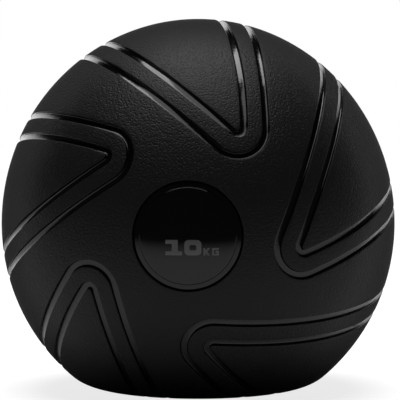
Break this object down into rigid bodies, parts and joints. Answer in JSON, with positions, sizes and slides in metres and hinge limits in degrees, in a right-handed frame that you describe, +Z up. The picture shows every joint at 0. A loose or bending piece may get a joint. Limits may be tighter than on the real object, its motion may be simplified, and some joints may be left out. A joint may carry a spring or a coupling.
{
  "type": "medicine ball",
  "caption": "Round sand-filled non-bounce medicine ball with a thick moulded shell, swirled grip grooves, a round medallion and a filling port with an air plug.",
  "frame": {"origin": "under the middle of the ball, on the surface that it stands on", "axes": "+Z up, with the ball at rest on its flat foot; -Y towards the medallion; +Y towards the filling port; +X to the right of someone who faces the medallion"},
  "size_m": [0.23, 0.2291, 0.217],
  "materials": {
    "shell": "satin black soft PVC with a fine pebble grain, polished in the grooves",
    "medallion": "high gloss black PVC",
    "mark": "dark grey print",
    "plug": "satin black PVC",
    "valve": "matt black rubber",
    "air_plug": "satin black nylon",
    "sand": "dry sand"
  },
  "bodies": {
    "ball": {"outer_shell": "shell", "sand_fill": "sand", "medallion_disc": "medallion", "mark_digit_1": "mark", "mark_digit_0": "mark", "mark_letter_k": "mark", "mark_letter_g": "mark", "filler_plug": "plug", "valve_sleeve": "valve"},
    "air_plug": {"air_plug": "air_plug"}
  },
  "joints": [
    {"name": "air_plug_pull", "type": "slide", "parent": "ball", "child": "air_plug", "axis": [0, 1, 0], "range_m": [0, 0.025]}
  ]
}
